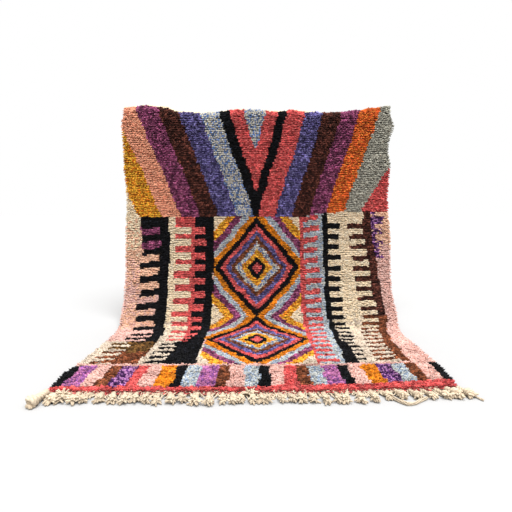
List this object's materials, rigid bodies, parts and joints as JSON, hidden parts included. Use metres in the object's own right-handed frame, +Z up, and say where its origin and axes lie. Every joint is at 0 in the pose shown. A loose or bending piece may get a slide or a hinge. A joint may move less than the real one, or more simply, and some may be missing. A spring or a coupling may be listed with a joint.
{
  "type": "beni ourain rug",
  "caption": "Thick hand-knotted wool pile rug in many colours, hung over a rod so that its face falls to the floor and runs forward on it, with a knotted warp fringe at the end.",
  "frame": {"origin": "on the floor, under the middle of the whole object's box", "axes": "+Z up, +X across the rug's width, -Y the way the end on the floor points"},
  "size_m": [1.571, 1.2294, 1.2167],
  "materials": {
    "wool_pile": "matt cut wool pile in many yarn colours",
    "cream_warp": "matt twisted undyed wool"
  },
  "bodies": {
    "root": {"rug": "wool_pile", "end_fringe": "cream_warp"}
  },
  "joints": []
}
